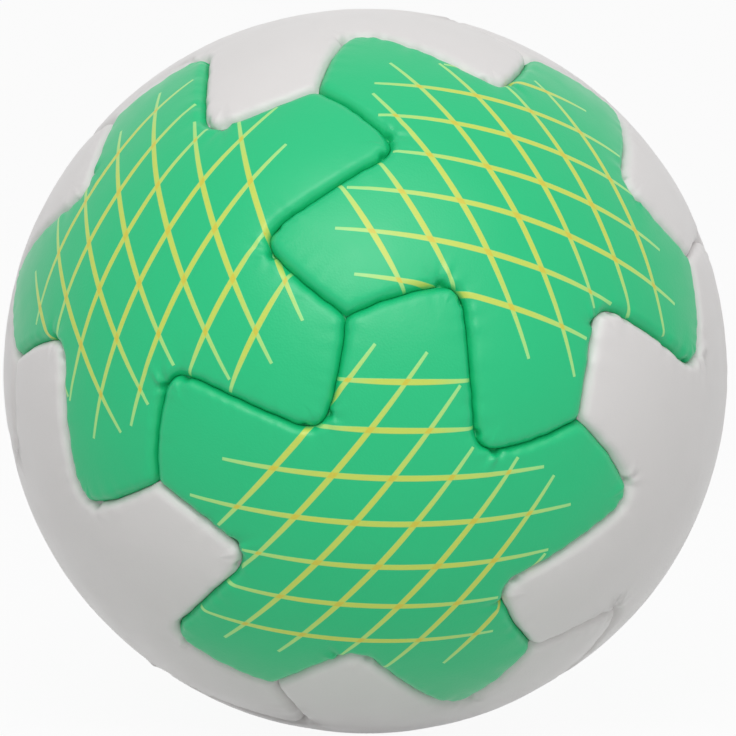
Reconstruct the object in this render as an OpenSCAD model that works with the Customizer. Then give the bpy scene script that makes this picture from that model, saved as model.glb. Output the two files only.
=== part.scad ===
// Handball of size 3, sewn from twelve padded panels around an inflated bladder.
// Every seam between two panels is the same S-shaped line, so all twelve panels are alike.
// A panel is a sheet of cover material with its edge turned in at the seams, over a foam pad
// and a cloth lining. One panel has the hole for the valve, which sits in the bladder's wall.
// The origin is the ball's centre. +Z is up as the ball lies, and it is seen along +Y.

/* [Ball] */
// Diameter of the blown-up ball over its panels
ball_d = 188; // [160:1:192]
// Turn of the ball about X, in degrees
turn_x_angle = 110.7; // [-180:0.1:180]
// Turn of the ball about Y, in degrees
turn_y_angle = 8.3; // [-180:0.1:180]
// Turn of the ball about Z, in degrees
turn_z_angle = 5.8; // [-180:0.1:180]

/* [Cover] */
// Thickness of the cover material
skin_t = 1.2; // [0.8:0.1:1.6]
// Depth of a seam below the face of the panels
groove_depth = 2.8; // [2:0.1:3.2]
// Width of a panel's edge that rolls down to the seam
roll_w = 5; // [4:0.1:6]
// Gap between two panels in their seam
seam_gap = 0.3; // [0.1:0.05:0.5]

/* [Pads] */
// Thickness of the foam pads
foam_t = 3.2; // [2.5:0.1:4]
// Gap between a turned-in edge and the foam pad beside it
foam_gap = 2.2; // [2:0.1:4]
// Room between a pad and its cover, which is flat between its points
foam_room = 0.8; // [0.8:0.1:1.2]
// Thickness of the cloth linings
lining_t = 1.3; // [0.8:0.1:2]
// Gap between a turned-in edge and the lining beside it
lining_gap = 0.3; // [0.2:0.1:1]
// Gap between one layer and the next
layer_gap = 0.2; // [0.1:0.05:0.3]
// Diameter of the seam thread
thread_d = 0.6; // [0.4:0.1:0.8]
// Distance between the threads' ends and the corner where three seams meet
thread_end_gap = 1.2; // [0.9:0.1:3]

/* [Bladder and valve] */
// Thickness of the bladder's wall
bladder_t = 1.4; // [0.8:0.1:2.5]
// Diameter of the valve's stem
stem_d = 7; // [6.4:0.1:9]
// Diameter of the valve's nose in the hole of the cover
nose_d = 5.6; // [5.2:0.1:6]
// Depth of the nose's end below the face of the panels
nose_sink = 0.2; // [0.1:0.1:0.6]
// Depth of the stem's shoulder below the cover
shoulder_gap = 0.8; // [0.6:0.1:1.2]
// Gap around the nose, the stem and the patch in their holes
valve_gap = 0.25; // [0.1:0.05:0.5]
// Diameter of the valve's foot inside the bladder
foot_d = 26; // [20:1:40]
// Thickness of the valve's foot
foot_t = 1.2; // [0.8:0.1:2]
// Diameter of the patch around the stem on the bladder
patch_d = 32; // [24:1:44]
// Thickness of the patch
patch_t = 0.8; // [0.5:0.1:1]
// Diameter of the valve's core
core_d = 4; // [3.8:0.1:4.6]
// Gap between the core and the stem
core_gap = 0.05; // [0.02:0.01:0.1]
// Diameter of the collar that holds the core in the stem
collar_d = 5; // [4.8:0.1:5.4]
// Height of the collar
collar_h = 1.4; // [1:0.1:2]
// Thickness of the lip over the core
lip_t = 0.6; // [0.5:0.1:1.2]
// Diameter of the opening in the lip
lip_d = 2.6; // [2.4:0.1:3.2]
// Diameter of the bore that takes the pump's needle
needle_d = 2; // [1.8:0.1:2.2]
// Length of the bore that takes the pump's needle
needle_bore_l = 9; // [6:0.5:12]
// Length of the core's closed end below the bore
core_end_l = 2.5; // [1.5:0.5:4]
// Width of the slit in the core's closed end
slit_w = 0.15; // [0.1:0.05:0.3]
// Rubber left between the slit and the bore, where the real lips touch
slit_skin_t = 0.6; // [0.4:0.1:1]

/* [Hidden] */
green = "#3fc78b";
white = "#dddbd7";
foam_grey = "#6f7072";
cloth_cream = "#d9cfae";
bladder_black = "#26262a";
rubber_grey = "#4a4a4e";
thread_white = "#efece2";
panel_colors = [green, white, green, green, white, white, white, white, white, green, green, green];

// The panels lie on the faces of a regular dodecahedron.
sides = 5;
golden = (1 + sqrt(sides)) / 2;
edge_tilt = atan(1 / golden);
face_tilt = 2 * edge_tilt;
half_edge = acos(sqrt(sides) / 3) / 2;

// A seam in shares of half a face's edge: along the edge, and across it towards the panel.
leg_pull_shares = [-0.678, 0.334];
tip_pull_shares = [-0.292, 0.556];
// Shares of the way to the next pull point at which the leg and the tip end
leg_end_share = 0.58;
tip_end_share = 0.37;
leg_steps = 3;
tip_steps = 3;

// Where the rows of points on a panel's face lie, in shares of the way from its middle
crown_shares = [0.17, 0.38, 0.59, 0.8];
// Where the rows of points on its rolled edge lie, in shares of the edge's width
roll_shares = [0.26, 0.72];
// How far the cutter of a pad reaches, in shares of the ball's radius
reach_share = 1.3;
overrun = 1;
round_fn = 96;
thread_sides = 4;

ball_r = ball_d / 2;
half_gap = seam_gap / 2;
roll_low = roll_w * roll_shares[0];
roll_high = roll_w * roll_shares[1];
fold_w = half_gap + skin_t;
foam_r = ball_r - skin_t - foam_room;
lining_r = foam_r - foam_t - layer_gap;
bladder_r = lining_r - lining_t - layer_gap;
bladder_in_r = bladder_r - bladder_t;
fold_r = ball_r - groove_depth - skin_t / 2;

// A seam's straight middle dips below the ball's curve by this much.
chord_dip = ball_r * (1 - cos(norm(tip_pull_shares) * (1 - tip_end_share) * half_edge / 2));
thread_r = bladder_r + layer_gap + chord_dip + thread_d / 2;
turn_in_r = thread_r + thread_d / 2 + layer_gap;

nose_top = ball_r - nose_sink;
stem_top = ball_r - skin_t - shoulder_gap;
core_top = nose_top - lip_t;
needle_bore_end = core_top - needle_bore_l;
core_end = needle_bore_end - core_end_l;
collar_top = needle_bore_end + collar_h / 2;
stem_end = core_end - foot_t;

panel_names = ["front_low", "right_low", "front_right", "front_left", "left_low", "bottom",
    "right_back", "top", "left_back", "back_left", "back_right", "back_high"];
valve_panel_name = "left_back";
valve_panel = search([valve_panel_name], panel_names)[0];

// Tilt, turn and spin of each panel: one at the pole, two rings of five, and the one opposite
places = concat(
    [[0, 0, 0]],
    [for (k = [0 : sides - 1]) [face_tilt, k * 360 / sides, 180 / sides]],
    [for (k = [0 : sides - 1]) [180 - face_tilt, (k + 0.5) * 360 / sides, 0]],
    [[180, 0, 0]]
);
// The edges of each panel whose seam has its thread counted there, so that each seam has one
thread_edges = concat(
    [[0, 1, 2, 3, 4]],
    [for (k = [0 : sides - 1]) [0, 1, 4]],
    [for (k = [0 : sides - 1]) [0, 1]],
    [[]]
);

// Unit vector along v
function unit(v) = v / norm(v);

// Point p turned about Z by the angle a
function turned(p, a) = [p.x * cos(a) - p.y * sin(a), p.x * sin(a) + p.y * cos(a), p.z];

// Quadratic curve from a to c, pulled towards b
function bend(a, b, c, s) = pow(1 - s, 2) * a + 2 * s * (1 - s) * b + s * s * c;

// Direction of the seam's point p, for the face edge that lies towards +X
function seam_direction(p) = [
    cos(p.y) * cos(p.x) * sin(edge_tilt) - sin(p.y) * cos(edge_tilt),
    cos(p.y) * sin(p.x),
    cos(p.y) * cos(p.x) * cos(edge_tilt) + sin(p.y) * sin(edge_tilt)
];

// Direction p drawn towards the panel's middle, to a share of its angle
function drawn_in(p, share) = let (a = acos(p.z) * share, h = norm([p.x, p.y]))
    [p.x / h * sin(a), p.y / h * sin(a), cos(a)];

// Half a seam, from the corner to the middle of the face's edge, in degrees
corner = [-half_edge, 0];
leg_pull = half_edge * leg_pull_shares;
tip_pull = half_edge * tip_pull_shares;
leg_end = leg_pull + (tip_pull - leg_pull) * leg_end_share;
tip_end = tip_pull * (1 - tip_end_share);
half_seam = concat(
    [for (i = [0 : leg_steps - 1]) bend(corner, leg_pull, leg_end, i / leg_steps)],
    [for (i = [0 : tip_steps]) bend(leg_end, tip_pull, tip_end, i / tip_steps)]
);
// The whole seam without its last corner, which begins the next seam
seam = concat(
    half_seam,
    [[0, 0]],
    [for (i = [len(half_seam) - 1 : -1 : 1]) -half_seam[i]]
);
outline = [for (k = [0 : sides - 1]) for (p = seam) turned(seam_direction(p), k * 360 / sides)];
outline_n = len(outline);
// Sideways direction of each stretch of the outline, towards the panel's middle
sideways = [for (i = [0 : outline_n - 1]) unit(cross(outline[i], outline[(i + 1) % outline_n]))];

// Direction of the outline's point i, moved in from both of its stretches by the distance d
function inset_point(i, d) = let (a = sideways[(i + outline_n - 1) % outline_n], b = sideways[i])
    unit(outline[i] + d / ball_r * (a + b) / (1 + a * b));

// The outline moved in by d, on a ball of radius r
function ring(d, r) = [for (i = [0 : outline_n - 1]) inset_point(i, d) * r];

// A row of points across the panel's face, with one point for every few of the outline
function crown_ring(every, share, r) = [
    for (i = [floor(every / 2) : every : outline_n - 1]) drawn_in(inset_point(i, roll_high), share) * r
];

// How far the rolled edge lies below the panel's face at the distance d from the seam
function roll_drop(d) = groove_depth * (1 - sqrt(1 - pow(1 - min(d / roll_w, 1), 2)));

// A panel's cover as rings of points, from its outer middle over the edge to its inner middle
inner_r = ball_r - skin_t;
cover_rings = [
    crown_ring(len(seam), crown_shares[0], ball_r),
    crown_ring(2, crown_shares[1], ball_r),
    crown_ring(2, crown_shares[2], ball_r),
    crown_ring(2, crown_shares[3], ball_r),
    ring(roll_high, ball_r - roll_drop(roll_high)),
    ring(roll_low, ball_r - roll_drop(roll_low)),
    ring(half_gap, ball_r - groove_depth),
    ring(half_gap, turn_in_r),
    ring(fold_w, turn_in_r),
    ring(fold_w, fold_r),
    ring(roll_high, inner_r - roll_drop(roll_high)),
    crown_ring(2, crown_shares[3], inner_r),
    crown_ring(2, crown_shares[2], inner_r),
    crown_ring(2, crown_shares[1], inner_r),
    crown_ring(len(seam), crown_shares[0], inner_r)
];
cover_points = concat([[0, 0, ball_r]], [for (r = cover_rings) each r], [[0, 0, inner_r]]);

// Number of the first point of ring k
function ring_start(k) = k == 0 ? 1 : ring_start(k - 1) + len(cover_rings[k - 1]);

// Triangles between a fine ring of n points from f on, and a coarse one of m points from c on
function strip(f, n, c, m) = let (q = n / m) [
    for (j = [0 : m - 1]) each concat(
        [for (i = [q * j : q * j + q - 1]) [f + (i + 1) % n, f + i, c + j]],
        [[c + j, c + (j + 1) % m, f + (q * j + q) % n]]
    )
];

function flipped(faces) = [for (t = faces) [t[0], t[2], t[1]]];

// Triangles between ring k and the next one
function ring_faces(k) = let (n = len(cover_rings[k]), m = len(cover_rings[k + 1]))
    m >= n ? strip(ring_start(k + 1), m, ring_start(k), n)
    : flipped(strip(ring_start(k), n, ring_start(k + 1), m));

last_ring = len(cover_rings) - 1;
last_point = len(cover_points) - 1;
cover_faces = concat(
    [for (j = [0 : sides - 1]) [ring_start(0) + (j + 1) % sides, ring_start(0) + j, 0]],
    [for (k = [0 : last_ring - 1]) each ring_faces(k)],
    [for (j = [0 : sides - 1])
        [ring_start(last_ring) + j, ring_start(last_ring) + (j + 1) % sides, last_point]]
);

// Puts a panel's layer, or part of the valve, in its place on the ball
module place(i) {
    rotate([turn_x_angle, turn_y_angle, turn_z_angle])
        rotate([0, places[i][0], places[i][1]])
            rotate([0, 0, places[i][2]])
                children();
}

// A ball whose poles lie away from the panel's middle
module ball(r) {
    rotate([0, 90, 0]) sphere(r = r, $fn = round_fn);
}

module shell(r, t) {
    difference() {
        ball(r);
        ball(r - t);
    }
}

// Solid cone from the ball's centre through the panel's outline, moved in by d
module panel_cone(d) {
    polyhedron(
        points = concat([[0, 0, 0], [0, 0, ball_r * reach_share]], ring(d, ball_r * reach_share)),
        faces = [for (i = [0 : outline_n - 1]) each
            [[2 + (i + 1) % outline_n, 2 + i, 1], [2 + i, 2 + (i + 1) % outline_n, 0]]],
        convexity = 4
    );
}

// Hole for the valve, right through the layers of its panel
module valve_hole(i, d) {
    if (i == valve_panel) cylinder(d = d + 2 * valve_gap, h = ball_r + overrun, $fn = round_fn);
}

module cover(i) {
    color(panel_colors[i])
        place(i) difference() {
            polyhedron(points = cover_points, faces = cover_faces, convexity = 6);
            valve_hole(i, nose_d);
        }
}

module foam(i) {
    color(foam_grey)
        place(i) difference() {
            intersection() {
                shell(foam_r, foam_t);
                panel_cone(fold_w + foam_gap);
            }
            valve_hole(i, stem_d);
        }
}

module lining(i) {
    color(cloth_cream)
        place(i) difference() {
            intersection() {
                shell(lining_r, lining_t);
                panel_cone(fold_w + lining_gap);
            }
            valve_hole(i, patch_d);
        }
}

// The points of one seam's thread, with its ends drawn back from the corners
first_step_l = norm(half_seam[1] - corner) * PI / 180 * ball_r;
thread_start = corner + (half_seam[1] - corner) * thread_end_gap / first_step_l;
thread_line = concat([thread_start], [for (i = [1 : len(seam) - 1]) seam[i]], [-thread_start]);
thread_path = [for (p = thread_line) seam_direction(p)];
thread_n = len(thread_path);

// Direction sideways of the thread at its point i
function thread_side(i) = unit(cross(
    thread_path[i],
    thread_path[min(i + 1, thread_n - 1)] - thread_path[max(i - 1, 0)]
));

module seam_thread() {
    polyhedron(
        points = [for (i = [0 : thread_n - 1]) for (k = [0 : thread_sides - 1])
            thread_path[i] * (thread_r + thread_d / 2 * cos(k * 360 / thread_sides))
            + thread_side(i) * thread_d / 2 * sin(k * 360 / thread_sides)],
        faces = concat(
            [[for (k = [thread_sides - 1 : -1 : 0]) k]],
            [for (i = [0 : thread_n - 2]) for (k = [0 : thread_sides - 1]) each
                let (a = i * thread_sides, b = a + thread_sides, q = (k + 1) % thread_sides)
                [[a + q, b + k, a + k], [a + q, b + q, b + k]]],
            [[for (k = [0 : thread_sides - 1]) (thread_n - 1) * thread_sides + k]]
        ),
        convexity = 4
    );
}

module seam_threads() {
    color(thread_white)
        for (i = [0 : len(places) - 1])
            for (k = thread_edges[i])
                place(i) rotate([0, 0, k * 360 / sides]) seam_thread();
}

module bladder() {
    color(bladder_black)
        place(valve_panel) difference() {
            shell(bladder_r, bladder_t);
            valve_hole(valve_panel, stem_d);
        }
}

// Half a curved disc, to be spun about Z: t thick under the radius r, between two diameters
module curved_disc(r, t, inner_d, outer_d) {
    intersection() {
        difference() {
            circle(r = r, $fn = round_fn);
            circle(r = r - t, $fn = round_fn);
        }
        translate([inner_d / 2, 0]) square([(outer_d - inner_d) / 2, ball_r]);
    }
}

module valve_patch() {
    color(rubber_grey)
        place(valve_panel) rotate_extrude($fn = round_fn)
            curved_disc(bladder_r + layer_gap / 2 + patch_t, patch_t, stem_d + 2 * valve_gap, patch_d);
}

module valve_body() {
    color(rubber_grey)
        place(valve_panel) rotate_extrude($fn = round_fn) difference() {
            union() {
                curved_disc(bladder_in_r - layer_gap / 2, foot_t, 0, foot_d);
                translate([0, stem_end]) square([stem_d / 2, stem_top - stem_end]);
                translate([0, stem_top - overrun]) square([nose_d / 2, nose_top - stem_top + overrun]);
            }
            translate([0, stem_end - overrun]) square([core_d / 2 + core_gap, core_top - stem_end + overrun]);
            translate([0, collar_top - collar_h - core_gap])
                square([collar_d / 2 + core_gap, collar_h + 2 * core_gap]);
            translate([0, stem_end - overrun]) square([lip_d / 2, nose_top - stem_end + 2 * overrun]);
        }
}

module valve_core() {
    color(bladder_black)
        place(valve_panel) difference() {
            rotate_extrude($fn = round_fn) difference() {
                union() {
                    translate([0, core_end]) square([core_d / 2, core_top - core_gap - core_end]);
                    translate([0, collar_top - collar_h]) square([collar_d / 2, collar_h]);
                }
                translate([0, needle_bore_end]) square([needle_d / 2, needle_bore_l + overrun]);
            }
            translate([-needle_d / 2, -slit_w / 2, core_end - overrun])
                cube([needle_d, slit_w, core_end_l - slit_skin_t + overrun]);
        }
}

for (i = [0 : len(panel_names) - 1]) {
    cover(i);
    foam(i);
    lining(i);
}
seam_threads();
bladder();
valve_patch();
valve_body();
valve_core();
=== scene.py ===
import math

import bmesh
import bpy
import numpy as np
from mathutils import Matrix, Vector, noise


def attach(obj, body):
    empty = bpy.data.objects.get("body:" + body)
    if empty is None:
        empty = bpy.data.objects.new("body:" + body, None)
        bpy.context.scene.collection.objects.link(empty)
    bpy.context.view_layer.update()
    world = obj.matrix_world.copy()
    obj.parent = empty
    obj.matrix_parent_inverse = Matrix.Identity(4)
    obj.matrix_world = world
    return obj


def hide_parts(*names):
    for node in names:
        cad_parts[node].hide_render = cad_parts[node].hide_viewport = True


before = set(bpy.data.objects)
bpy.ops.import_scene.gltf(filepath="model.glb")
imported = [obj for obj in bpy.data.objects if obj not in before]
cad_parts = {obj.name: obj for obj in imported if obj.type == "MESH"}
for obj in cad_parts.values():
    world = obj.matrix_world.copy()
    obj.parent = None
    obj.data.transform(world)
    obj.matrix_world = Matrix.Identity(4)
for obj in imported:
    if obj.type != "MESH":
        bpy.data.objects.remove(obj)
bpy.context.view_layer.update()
print("frame loaded")

mm = 0.001

# The camera looks at the ball's centre. Angles are in degrees, and shift is in shares of the frame.
view = {
    "elevation": 8.0,
    "distance": 1880 * mm,
    "lens": 354.1,
    "shift": (0.0034, 0.0041),
    "clipEnd": 50,
}

# How the twelve panels lie on the ball, and the seam between two of them. Pulls are the seam's
# control points, in shares of half a face's edge: along the edge, and across it.
ball = {
    "radius": 94 * mm,
    "turn": (110.7, 8.3, 5.8),
    "sides": 5,
    "legPull": (-0.678, 0.334),
    "tipPull": (-0.292, 0.556),
    "legEnd": 0.58,
    "tipEnd": 0.37,
}

panelNames = [
    "front_low", "right_low", "front_right", "front_left", "left_low", "bottom",
    "right_back", "top", "left_back", "back_left", "back_right", "back_high",
]

# Turn and place of the print on each green panel, in degrees from the panel's middle
greenPanels = {
    "front_low": (0.2, -0.56, -0.42),
    "front_right": (0.4, -0.05, -0.17),
    "front_left": (73.8, 1.17, -0.4),
    "back_left": (0, 0.3, 0.2),
    "back_right": (72.6, -0.4, 0.3),
    "back_high": (143.5, 0.2, -0.5),
}
valvePanel = "left_back"


def makeCamera():
    camera = bpy.data.objects.new("camera", bpy.data.cameras.new("camera"))
    bpy.context.collection.objects.link(camera)
    lift = math.radians(view["elevation"])
    camera.location = (0, -view["distance"] * math.cos(lift), view["distance"] * math.sin(lift))
    camera.rotation_euler = (math.pi / 2 - lift, 0, 0)
    camera.data.sensor_fit = "HORIZONTAL"
    camera.data.lens = view["lens"]
    camera.data.shift_x, camera.data.shift_y = view["shift"]
    camera.data.clip_end = view["clipEnd"]
    bpy.context.scene.camera = camera
    bpy.context.scene.view_settings.view_transform = "Standard"


makeCamera()
print("camera placed")

# Angles between the faces and edges of the dodecahedron on which the panels are laid out
goldenRatio = (1 + math.sqrt(5)) / 2
edgeTilt = math.atan(1 / goldenRatio)
faceTilt = 2 * edgeTilt
halfEdge = math.acos(math.sqrt(5) / 3) / 2


def panelPlaces():
    turn = Matrix.Identity(3)
    for angle, axis in zip(ball["turn"], "XYZ"):
        turn = Matrix.Rotation(math.radians(angle), 3, axis) @ turn
    fifth = 2 * math.pi / ball["sides"]
    rings = [(0, 0, 0)]
    rings += [(faceTilt, k * fifth, fifth / 2) for k in range(ball["sides"])]
    rings += [(math.pi - faceTilt, (k + 0.5) * fifth, 0) for k in range(ball["sides"])]
    rings += [(math.pi, 0, 0)]
    return [
        turn @ Matrix.Rotation(around, 3, "Z") @ Matrix.Rotation(tilt, 3, "Y")
        @ Matrix.Rotation(spin, 3, "Z")
        for tilt, around, spin in rings
    ]


def bend(a, b, c, s):
    return (1 - s) ** 2 * a + 2 * s * (1 - s) * b + s * s * c


def seamPoints(legSteps, tipSteps, middleSteps):
    corner = np.array([-halfEdge, 0.0])
    legPull = halfEdge * np.array(ball["legPull"])
    tipPull = halfEdge * np.array(ball["tipPull"])
    legEnd = legPull + (tipPull - legPull) * ball["legEnd"]
    tipEnd = tipPull * (1 - ball["tipEnd"])
    half = [bend(corner, legPull, legEnd, i / legSteps) for i in range(legSteps)]
    half += [bend(legEnd, tipPull, tipEnd, i / tipSteps) for i in range(tipSteps)]
    half += [tipEnd * (1 - i / middleSteps) for i in range(middleSteps)]
    return np.array(half + [np.zeros(2)] + [-p for p in half[:0:-1]])


# A panel's outline as directions from the ball's centre, the panel's middle being at +Z
def panelOutline(*steps):
    u, v = seamPoints(*steps).T
    edge = np.stack([
        np.cos(v) * np.cos(u) * math.sin(edgeTilt) - np.sin(v) * math.cos(edgeTilt),
        np.cos(v) * np.sin(u),
        np.cos(v) * np.cos(u) * math.cos(edgeTilt) + np.sin(v) * math.sin(edgeTilt),
    ], axis=1)
    turns = [Matrix.Rotation(2 * math.pi * k / ball["sides"], 3, "Z") for k in range(ball["sides"])]
    return np.concatenate([edge @ np.array(turn).T for turn in turns])


def unit(v):
    return v / np.linalg.norm(v, axis=-1, keepdims=True)


# The outline moved in by a distance from both of the stretches that meet at each point
def insetRing(outline, distance):
    ahead = unit(np.cross(outline, np.roll(outline, -1, axis=0)))
    behind = np.roll(ahead, 1, axis=0)
    both = (ahead + behind) / (1 + np.sum(ahead * behind, axis=1, keepdims=True))
    return unit(outline + distance / ball["radius"] * both)


# A round ring about the panel's middle, with its points in line with those of another ring
def circleRing(ring, radius):
    angle = radius / ball["radius"]
    return np.column_stack([unit(ring[:, :2]) * math.sin(angle), np.full(len(ring), math.cos(angle))])


# A ring drawn in to a share of its angle from the panel's middle
def drawnIn(ring, share):
    angle = np.arccos(np.clip(ring[:, 2], -1, 1)) * share
    flat = unit(ring[:, :2])
    return np.column_stack([flat * np.sin(angle)[:, None], np.cos(angle)])


# Points that are measured against the outline in one go, so that the arrays stay small
pointsAtOnce = 400


def inParts(points):
    return np.array_split(points, max(1, len(points) // pointsAtOnce))


# Distance to the whole seam in one smooth number, which rounds a panel's corners like a pillow's
def smoothDistance(points, outline, power=7):
    radius = ball["radius"]
    around = np.roll(outline, -1, axis=0) - np.roll(outline, 1, axis=0)
    stretch = np.linalg.norm(around, axis=1) / 2 * radius
    full = math.sqrt(math.pi) * math.gamma((power - 1) / 2) / math.gamma(power / 2)
    result = []
    for part in inParts(points):
        gaps = np.linalg.norm(part[:, None, :] - outline[None, :, :], axis=2) * radius
        crowd = np.sum(stretch / np.maximum(gaps, 1e-6) ** power, axis=1)
        result.append((crowd / full) ** (-1 / (power - 1)))
    return np.concatenate(result)


# For each point, the place on the seam that is nearest to it, and the distance to it
def nearestSeam(points, outline):
    feet, gaps = [], []
    for part in inParts(points):
        lengths = np.linalg.norm(part[:, None, :] - outline[None, :, :], axis=2)
        nearest = lengths.argmin(axis=1)
        feet.append(nearest)
        gaps.append(lengths[np.arange(len(part)), nearest] * ball["radius"])
    return np.concatenate(feet), np.concatenate(gaps)


# Cover panels: a sheet of synthetic leather each, crowned by the pad behind it, whose edge
# rolls down to the seam and is turned in there. Low shares say how much of the face's sway each
# ring of the turned-in edge has, from its foot upwards. Steps are counts of points along a leg, a
# tip and the middle of half a seam, edge insets are in millimetres, and hole rings are pairs of a
# share of the hole's radius and how many millimetres the face has sunk there.
cover = {
    "skin": 1.2 * mm,
    "foldedGap": 0.3 * mm,
    "grooveDepth": 2.1 * mm,
    "rollWidth": 3.1 * mm,
    "rollPower": 2.7,
    "footRadius": 88.34 * mm,
    "lowShares": (0, 0.05, 0.2, 0.5),
    "shoulder": 0.5 * mm,
    "shoulderReach": 6 * mm,
    "stepsAround": (28, 32, 20),
    "fineSteps": (60, 65, 35),
    "edgeInsets": [0.05, 0.12, 0.23, 0.37, 0.56, 0.8],
    "firstMeasured": 0.45 * mm,
    "faceShares": [
        0.996, 0.99, 0.983, 0.975, 0.966, 0.956, 0.944, 0.931, 0.915,
        0.895, 0.872, 0.848, 0.822, 0.79, 0.755, 0.715, 0.67, 0.62,
        0.565, 0.505, 0.44, 0.375, 0.31, 0.245, 0.18, 0.12, 0.065,
    ],
    "insideShares": [0.96, 0.9, 0.82, 0.7, 0.5, 0.25],
    "insideEase": 0.4 * mm,
    "valveHole": 6.1 * mm,
    "holeRings": [
        (2.1, 0.02), (1.7, 0.05), (1.4, 0.1), (1.22, 0.17),
        (1.12, 0.24), (1.06, 0.31), (1.02, 0.4), (1.0, 0.55),
    ],
    "leastShareAtHole": 0.2,
    "shadeWidth": 2 * mm,
    "pitDepth": 0.85 * mm,
    "pitWidth": 1.3 * mm,
    "cornerOpening": 0.35 * mm,
    "tipOpening": 0.7 * mm,
    "openingWidth": 0.9 * mm,
    "openingLeast": 0.55,
    "openingVaries": 0.9,
    "openingPlaces": 40,
    "swayWidth": 0.3 * mm,
    "swayLength": 4.5 * mm,
    "swayReach": 3 * mm,
    "swaySeed": 7,
    "stitchPitch": 4.2 * mm,
    "stitchDepth": 0.12 * mm,
    "stitchReach": 1.5 * mm,
    "puckerDepth": 0.95 * mm,
    "puckerLength": 3 * mm,
    "puckerReach": 3 * mm,
    "puckerOffBends": 0.22,
    "startShare": 0.25,
    "startReach": 0.6 * mm,
    "creaseDepth": 0.8 * mm,
    "creaseDepths": (0.4, 1.0),
    "creaseLength": 3.6 * mm,
    "creaseLengths": (0.7, 1.5),
    "creaseWidth": 0.62 * mm,
    "creaseTurns": [(-68, -40), (-30, -12), (-4, 14), (28, 62)],
    "ridgeHeight": 0.55,
    "ridgePlace": 1.7,
    "ridgeWidth": 0.9,
    "dentDepth": 0.26 * mm,
    "dentSize": 24 * mm,
    "dentShift": (7.3, 3.1, 5.7),
    "rippleDepth": 0.05 * mm,
    "rippleSize": 7 * mm,
}

# How the seam's bends are found: in points of its fine outline, the span of one bend, what is left
# out at the corners, and how far a bend is felt along the seam. Gain makes the sharpest one full.
bending = {"span": 6, "cornerFree": 12, "fade": 50, "reach": 120, "gain": 1.6}


def rollDrop(distance):
    share = np.clip(distance / cover["rollWidth"], 0, 1)
    return cover["grooveDepth"] * (1 - share) ** cover["rollPower"]


def shoulderDrop(distance):
    return cover["shoulder"] * np.exp(-distance / cover["shoulderReach"])


# Extrudes the ring of edges once and moves the new points, which keep their number in the ring
def extrudeRing(bm, edges, number, points):
    made = bmesh.ops.extrude_edge_only(bm, edges=edges)["geom"]
    fresh = [v for v in made if isinstance(v, bmesh.types.BMVert)]
    freshSet = set(fresh)
    for v in fresh:
        source = next(e.other_vert(v) for e in v.link_edges if e.other_vert(v) not in freshSet)
        number[v] = number[source]
        v.co = points[number[v]]
    ringEdges = [e for e in made if isinstance(e, bmesh.types.BMEdge) and freshSet.issuperset(e.verts)]
    return fresh, ringEdges


# A closed body from rings of points: the first ring is extruded through the others to both sides.
# Each side ends in its own middle point, or in a hole that joins them.
def ringBody(upward, downward, topPoint, lowPoint):
    bm = bmesh.new()
    count = len(upward[0])
    start = bmesh.ops.create_circle(bm, cap_ends=False, radius=1, segments=count)["verts"]
    number = {}
    for i, v in enumerate(start):
        number[v] = i
        v.co = upward[0][i]
    firstEdges = bm.edges[:]
    order = {v: (0, i) for v, i in number.items()}
    ends = []
    for side, rows in ((1, upward[1:]), (-1, downward)):
        edges = firstEdges
        ring = start
        for k, points in enumerate(rows):
            ring, edges = extrudeRing(bm, edges, number, points)
            for v in ring:
                order[v] = (side * (k + 1), number[v])
        ends.append((ring, edges))
    if topPoint is None:
        bmesh.ops.bridge_loops(bm, edges=ends[0][1] + ends[1][1])
    else:
        for (ring, edges), point in zip(ends, (topPoint, lowPoint)):
            top = bmesh.ops.extrude_edge_only(bm, edges=edges)["geom"]
            verts = [v for v in top if isinstance(v, bmesh.types.BMVert)]
            bmesh.ops.pointmerge(bm, verts=verts, merge_co=point)
    bmesh.ops.recalc_face_normals(bm, faces=bm.faces[:])
    return bm, order


def finishObject(name, bm, material):
    for face in bm.faces:
        face.smooth = True
    mesh = bpy.data.meshes.new(name)
    bm.to_mesh(mesh)
    bm.free()
    mesh.materials.append(material)
    piece = bpy.data.objects.new(name, mesh)
    bpy.context.collection.objects.link(piece)
    return piece


def writeAttribute(mesh, name, kind, values):
    attribute = mesh.attributes.new(name, kind, "POINT")
    field = "vector" if kind == "FLOAT_VECTOR" else "value"
    attribute.data.foreach_set(field, np.asarray(values, dtype=np.float32).ravel())


def pieceName(kind, name):
    return kind + "".join(word.capitalize() for word in name.split("_"))


# Without a seed the vector noise, which makes the sway, would differ from run to run
noise.seed_set(cover["swaySeed"])
outline = panelOutline(*cover["stepsAround"])
fineOutline = panelOutline(*cover["fineSteps"])
fineSide = len(fineOutline) // ball["sides"]
cornerDirections = outline[:: len(outline) // ball["sides"]]
places = panelPlaces()


# The rings on a panel's outer face, from the seam inwards, with each point's smooth distance, its
# foot on the seam and its plain distance. The rings nearest to the seam are too close to the
# outline's points for a smooth distance, so theirs follows from the first ring that is measured.
def coverFace(holeRadius=None):
    insets = [d * mm for d in cover["edgeInsets"]]
    rings = [insetRing(outline, distance) for distance in insets]
    leastShare = cover["leastShareAtHole"] if holeRadius else 0
    rings += [drawnIn(rings[-1], share) for share in cover["faceShares"] if share > leastShare]
    if holeRadius:
        rings += [circleRing(outline, holeRadius * share) for share, sunk in cover["holeRings"]]
    directions = np.concatenate(rings)
    smooth = smoothDistance(directions, fineOutline)
    feet, gaps = nearestSeam(directions, fineOutline)
    rows = smooth.reshape(len(rings), len(outline))
    first = next(k for k, distance in enumerate(insets) if distance >= cover["firstMeasured"])
    ratio = rows[first] / insets[first]
    for k in range(first):
        rows[k] = insets[k] * ratio
    return directions, smooth, feet, gaps, len(rings)


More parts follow.
